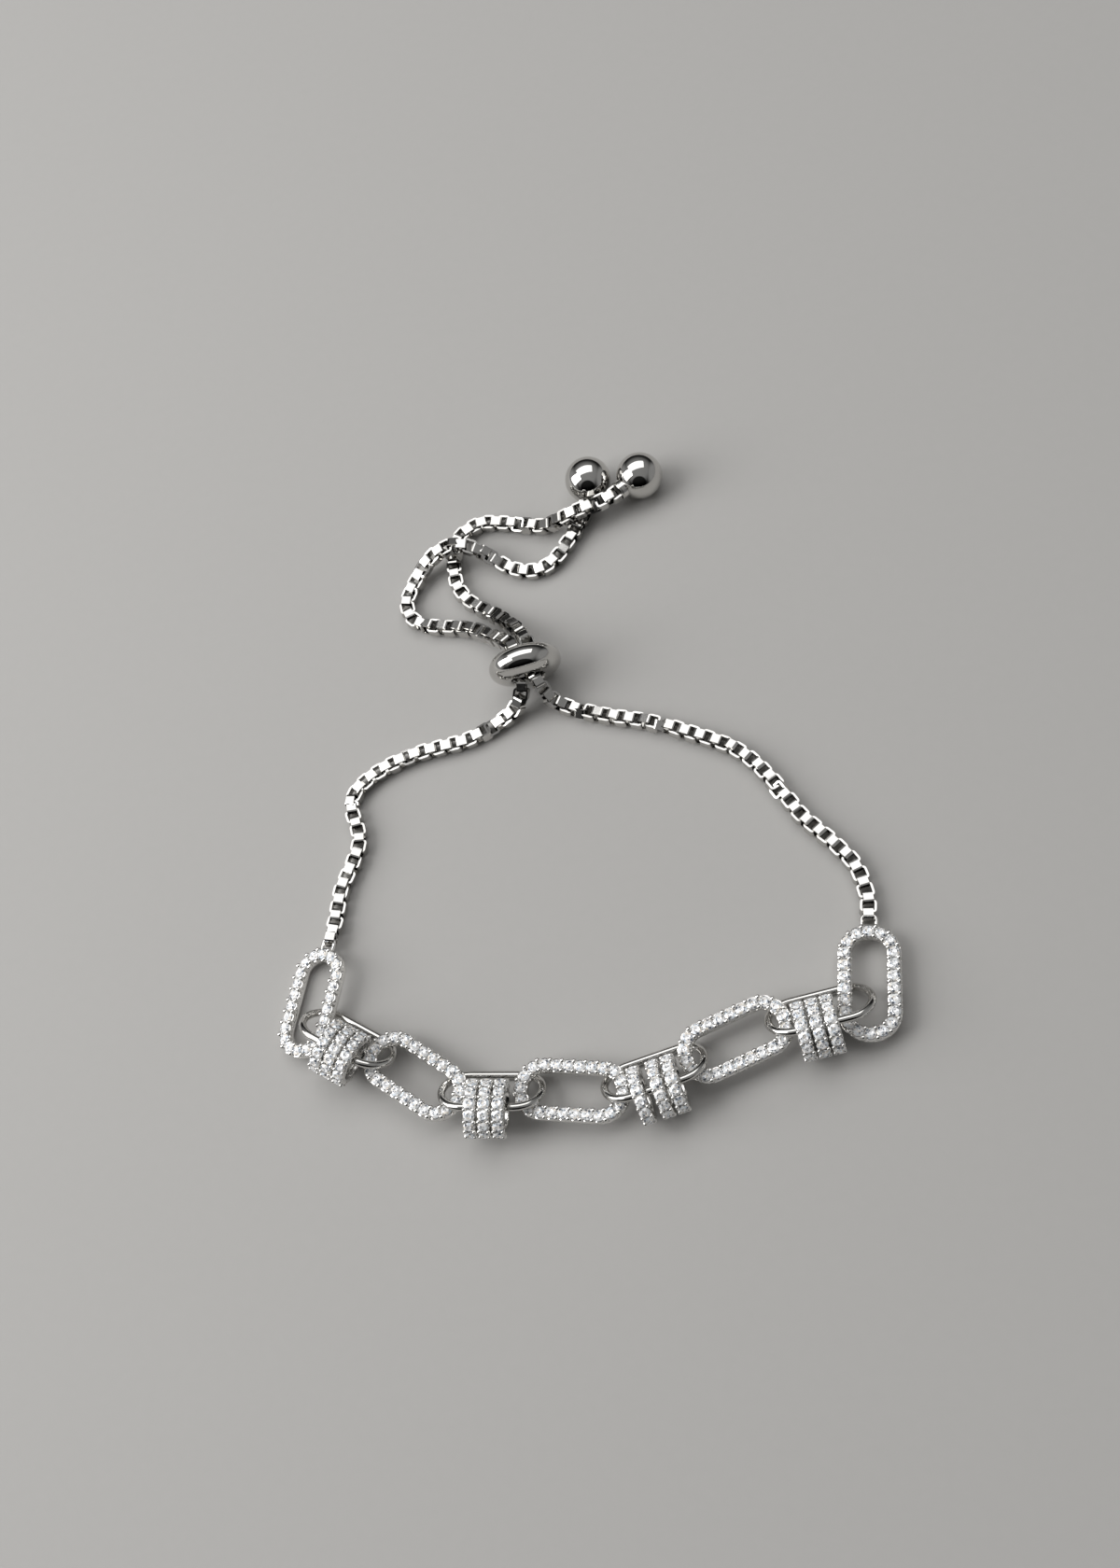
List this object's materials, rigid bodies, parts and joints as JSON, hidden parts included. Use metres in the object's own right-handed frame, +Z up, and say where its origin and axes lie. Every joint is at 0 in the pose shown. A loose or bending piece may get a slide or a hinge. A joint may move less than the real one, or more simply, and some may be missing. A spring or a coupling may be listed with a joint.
{
  "type": "slider bracelet",
  "caption": "Bracelet of oval links set with clear stones and plain wire links carrying stone-set rings, closed by a box chain that runs through a sliding bead to two end balls.",
  "frame": {"origin": "under the middle of the bracelet's box, on the plane that it lies on", "axes": "+Z up, +X along the row of links, +Y from the row of links towards the slider bead"},
  "size_m": [0.0603, 0.072, 0.0074],
  "materials": {
    "polished_metal": "mirror polished, rhodium-white plated",
    "set_stones": "polished white metal pave set with clear brilliant-cut stones",
    "box_chain": "bright polished box chain links"
  },
  "bodies": {
    "root": {"pave_link_1": "set_stones", "pave_link_2": "set_stones", "pave_link_3": "set_stones", "pave_link_4": "set_stones", "pave_link_5": "set_stones", "plain_link_1": "polished_metal", "plain_link_2": "polished_metal", "plain_link_3": "polished_metal", "plain_link_4": "polished_metal", "pave_ring_1": "set_stones", "pave_ring_2": "set_stones", "pave_ring_3": "set_stones", "pave_ring_4": "set_stones", "pave_ring_5": "set_stones", "pave_ring_6": "set_stones", "pave_ring_7": "set_stones", "pave_ring_8": "set_stones", "pave_ring_9": "set_stones", "pave_ring_10": "set_stones", "pave_ring_11": "set_stones", "pave_ring_12": "set_stones", "slider_bead": "polished_metal", "end_ball_left": "polished_metal", "end_ball_right": "polished_metal", "chain_left": "box_chain", "tail_left": "box_chain", "chain_right": "box_chain", "tail_right": "box_chain"}
  },
  "joints": []
}
